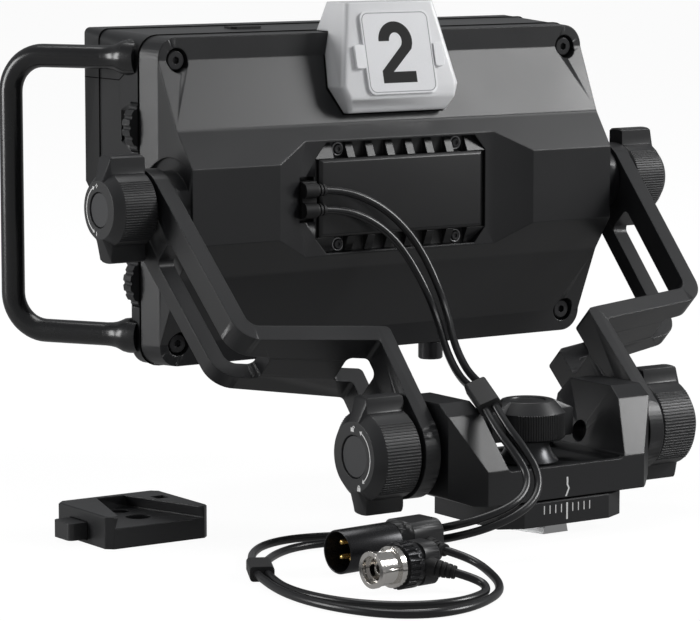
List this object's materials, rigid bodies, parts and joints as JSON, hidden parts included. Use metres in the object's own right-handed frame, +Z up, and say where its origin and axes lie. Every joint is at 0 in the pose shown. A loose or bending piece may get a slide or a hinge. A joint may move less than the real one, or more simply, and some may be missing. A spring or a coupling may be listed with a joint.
{
  "type": "studio camera viewfinder",
  "caption": "Studio camera viewfinder: a screen head with side handles on a two-arm tilting yoke, panning dovetail foot, receiver shoe and two clipped cables.",
  "frame": {"origin": "centre of the dovetail foot's underside, on the pan axis", "axes": "+X across to the right as seen from the tally side, +Y towards the operator and the screen, +Z up along the pan axis"},
  "size_m": [0.3581, 0.3368, 0.234],
  "materials": {
    "black_casting": "fine textured satin",
    "handle_enamel": "satin",
    "knob_plastic": "satin",
    "clip_plastic": "matte",
    "black_rubber": "matte",
    "cable_jacket": "satin",
    "steel": "satin",
    "washer_polymer": "matte",
    "bare_aluminium": "satin",
    "clear_lens": "gloss",
    "card_white": "matte",
    "circuit_green": "satin",
    "screen_black": "gloss",
    "cover_glass": "gloss",
    "plug_shell": "satin",
    "gold": "gloss",
    "nickel": "polished"
  },
  "bodies": {
    "foot": {"scale_plate": "black_casting", "dovetail_wedge": "bare_aluminium", "foot_screws": "steel", "pan_stud": "steel", "shoe_body": "black_casting", "shoe_spring": "steel", "lower_cable_clip": "clip_plastic", "video_cable_end": "cable_jacket", "power_cable_end": "cable_jacket", "xlr_shell": "plug_shell", "xlr_insert": "knob_plastic", "xlr_pins": "gold", "xlr_body": "knob_plastic", "xlr_relief": "black_rubber", "bnc_core": "nickel", "bnc_collar": "knob_plastic", "bnc_body": "knob_plastic", "bnc_relief": "black_rubber"},
    "shoe_catch": {"shoe_button": "black_casting", "shoe_latch": "steel"},
    "bayonet_ring": {"bnc_ring": "nickel"},
    "bracket": {"pan_bracket": "black_casting", "thrust_washers": "washer_polymer", "fold_studs": "steel", "upper_cable_clip": "clip_plastic", "video_cable_middle": "cable_jacket", "power_cable_middle": "cable_jacket"},
    "arms": {"left_arm": "black_casting", "right_arm": "black_casting"},
    "head": {"rear_cover": "black_casting", "cover_screws": "steel", "front_housing": "black_casting", "front_bezel": "black_casting", "screen_panel": "screen_black", "screen_glass": "cover_glass", "main_board": "circuit_green", "heat_sink": "black_casting", "heat_sink_cover": "black_casting", "heat_sink_screws": "steel", "tally_lens": "clear_lens", "number_card": "card_white", "tally_clips": "clear_lens", "tally_lamp_board": "circuit_green", "left_handle": "handle_enamel", "right_handle": "handle_enamel", "port_cover": "knob_plastic", "accessory_boss": "black_casting", "tilt_studs": "steel", "cable_glands": "black_rubber", "video_cable_upper": "cable_jacket", "power_cable_upper": "cable_jacket"},
    "pan_knob": {"pan_knob": "knob_plastic"},
    "left_fold_knob": {"left_fold_knob": "knob_plastic"},
    "right_fold_knob": {"right_fold_knob": "knob_plastic"},
    "left_tilt_knob": {"left_tilt_knob": "knob_plastic"},
    "right_tilt_knob": {"right_tilt_knob": "knob_plastic"},
    "upper_thumb_wheel": {"upper_thumb_wheel": "knob_plastic"},
    "lower_thumb_wheel": {"lower_thumb_wheel": "knob_plastic"},
    "left_button": {"left_button": "knob_plastic"},
    "right_button": {"right_button": "knob_plastic"}
  },
  "joints": [
    {"name": "pan", "type": "hinge", "parent": "foot", "child": "bracket", "pos_m": [0, 0, 0.0175], "axis": [0, 0, 1], "range_deg": [-90, 8], "deforming": ["video_cable_middle", "power_cable_middle"]},
    {"name": "fold", "type": "hinge", "parent": "bracket", "child": "arms", "pos_m": [0, 0.006, 0.0395], "axis": [1, 0, 0], "range_deg": [-20, 60], "deforming": ["video_cable_upper", "power_cable_upper"]},
    {"name": "tilt", "type": "hinge", "parent": "arms", "child": "head", "pos_m": [0, 0.1102, 0.1437], "axis": [1, 0, 0], "range_deg": [-40, 40], "deforming": ["video_cable_upper", "power_cable_upper"]},
    {"name": "pan_knob_turn", "type": "hinge", "parent": "foot", "child": "pan_knob", "pos_m": [0, 0, 0.045], "axis": [0, 0, 1], "range_deg": [-30, 330]},
    {"name": "left_fold_knob_turn", "type": "hinge", "parent": "bracket", "child": "left_fold_knob", "pos_m": [-0.08, 0.006, 0.0395], "axis": [-1, 0, 0], "range_deg": [-30, 330]},
    {"name": "right_fold_knob_turn", "type": "hinge", "parent": "bracket", "child": "right_fold_knob", "pos_m": [0.08, 0.006, 0.0395], "axis": [1, 0, 0], "range_deg": [-30, 330]},
    {"name": "left_tilt_knob_turn", "type": "hinge", "parent": "head", "child": "left_tilt_knob", "pos_m": [-0.148, 0.1102, 0.1437], "axis": [-1, 0, 0], "range_deg": [-30, 330]},
    {"name": "right_tilt_knob_turn", "type": "hinge", "parent": "head", "child": "right_tilt_knob", "pos_m": [0.148, 0.1102, 0.1437], "axis": [1, 0, 0], "range_deg": [-30, 330]},
    {"name": "upper_wheel_turn", "type": "hinge", "parent": "head", "child": "upper_thumb_wheel", "pos_m": [-0.1156, 0.13615, 0.178], "axis": [0, 1, 0], "continuous": true},
    {"name": "lower_wheel_turn", "type": "hinge", "parent": "head", "child": "lower_thumb_wheel", "pos_m": [-0.1156, 0.13615, 0.106], "axis": [0, 1, 0], "continuous": true},
    {"name": "left_button_press", "type": "slide", "parent": "head", "child": "left_button", "axis": [0, -1, 0], "range_m": [0, 0.0015], "stiffness_N_per_m": 500, "springref_m": -0.001},
    {"name": "right_button_press", "type": "slide", "parent": "head", "child": "right_button", "axis": [0, -1, 0], "range_m": [0, 0.0015], "stiffness_N_per_m": 500, "springref_m": -0.001},
    {"name": "shoe_release", "type": "slide", "parent": "foot", "child": "shoe_catch", "axis": [1, 0, 0], "range_m": [0, 0.0022], "stiffness_N_per_m": 800, "springref_m": -0.0015, "deforming": ["shoe_spring"]},
    {"name": "bayonet_turn", "type": "hinge", "parent": "foot", "child": "bayonet_ring", "pos_m": [-0.1433, -0.0827, 0.01005], "axis": [0.9956, 0.0937, 0], "range_deg": [0, 90]}
  ]
}
